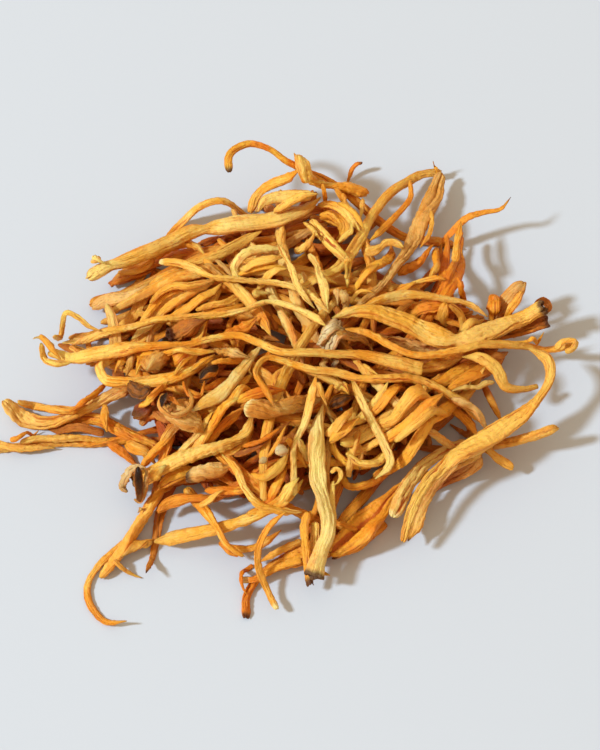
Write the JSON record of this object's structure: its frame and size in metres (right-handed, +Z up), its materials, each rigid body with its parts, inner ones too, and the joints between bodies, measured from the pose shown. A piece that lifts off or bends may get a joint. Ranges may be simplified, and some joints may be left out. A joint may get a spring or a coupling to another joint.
{
  "type": "dried cordyceps clump",
  "caption": "Loose, tangled clump of dried golden-orange cordyceps stems with forked, curled and clubbed tips, spreading from a shrivelled base; lies flat as a food or display prop.",
  "frame": {"origin": "middle of the clump's footprint, on the surface that it lies on", "axes": "+X along the clump's greatest spread, left to right in the picture; +Y away from the picture's viewer; +Z up"},
  "size_m": [0.1212, 0.108, 0.0198],
  "materials": {
    "pale_stem": "dry, wrinkled, pale straw yellow",
    "gold_stem": "dry, wrinkled, golden yellow",
    "orange_stem": "dry, wrinkled, deep orange",
    "tan_stem": "dry, wrinkled, tan with brown furrows",
    "brown_stem": "dry, shrivelled, brown",
    "cream_base": "dry, powdery cream with brown creases"
  },
  "bodies": {
    "root": {"left_floor_stem": "gold_stem", "left_low_stem": "orange_stem", "right_floor_stem": "gold_stem", "right_stub_stem": "gold_stem", "lobed_floor_stem": "tan_stem", "bottom_orange_stem": "orange_stem", "hooked_stem": "orange_stem", "right_under_stem": "orange_stem", "right_bundle_stem": "orange_stem", "dark_tip_stem": "brown_stem", "lower_left_hook_stem": "gold_stem", "deep_orange_stem": "orange_stem", "wrinkled_stem": "tan_stem", "back_right_stem": "orange_stem", "shrivelled_stem": "brown_stem", "left_orange_stem": "gold_stem", "back_left_stem": "gold_stem", "left_rising_stem": "gold_stem", "arched_stem": "pale_stem", "top_fan_stem": "pale_stem", "pale_nub_stem": "gold_stem", "long_curved_stem": "gold_stem", "right_whisker_stem": "orange_stem", "right_upright_stem": "orange_stem", "pale_end_stem": "tan_stem", "split_end_stem": "brown_stem", "spoke_stem": "gold_stem", "lower_loop_stem": "orange_stem", "lower_orange_stem": "orange_stem", "lower_pale_stem": "pale_stem", "lower_right_stem": "pale_stem", "front_pale_stem": "pale_stem", "front_curl_stem": "gold_stem", "lower_left_stem": "gold_stem", "left_arm_stem": "pale_stem", "bundle_stem": "gold_stem", "left_bend_stem": "gold_stem", "hollow_stem": "tan_stem", "bundle_pale_stem": "pale_stem", "pod_stem": "tan_stem", "broad_left_stem": "pale_stem", "diagonal_stem": "gold_stem", "tan_ribbon_stem": "tan_stem", "shared_base": "cream_base", "top_left_ribbon": "pale_stem", "back_ribbon": "tan_stem", "pale_blade_stem": "pale_stem", "upper_pale_stem": "pale_stem", "long_pale_stem": "pale_stem", "gold_ribbon_stem": "gold_stem", "crossing_stem": "pale_stem", "centre_front_stem": "gold_stem", "front_long_stem": "pale_stem", "front_whip_stem": "pale_stem", "front_drip_stem": "gold_stem", "front_ribbon": "pale_stem", "right_loop_stem": "gold_stem", "right_pale_stem": "pale_stem", "right_ribbon": "pale_stem", "right_top_stem": "gold_stem"}
  },
  "joints": []
}
